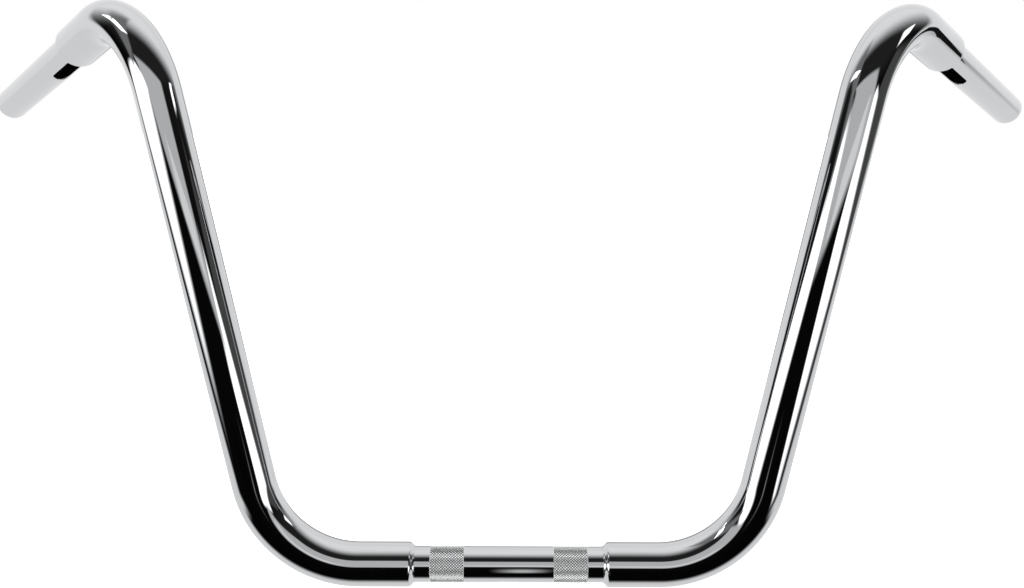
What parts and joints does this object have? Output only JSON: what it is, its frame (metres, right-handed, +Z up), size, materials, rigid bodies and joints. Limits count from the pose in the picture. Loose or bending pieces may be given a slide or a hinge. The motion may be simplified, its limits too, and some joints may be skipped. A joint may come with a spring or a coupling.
{
  "type": "ape hanger handlebar",
  "caption": "Tall chromed steel motorcycle handlebar: a knurled clamp tube, fat bent uprights and pulled-back grip tubes slotted for switch wires.",
  "frame": {"origin": "middle of the clamp tube, on its axis", "axes": "+X along the clamp tube towards the rider's left, +Y back towards the rider, +Z up in the plane of the uprights"},
  "size_m": [0.8774, 0.221, 0.4169],
  "materials": {
    "chrome_plate": "bright chrome plate on polished steel tube"
  },
  "bodies": {
    "root": {"clamp_tube": "chrome_plate", "left_upright": "chrome_plate", "right_upright": "chrome_plate", "left_grip_tube": "chrome_plate", "right_grip_tube": "chrome_plate"}
  },
  "joints": []
}
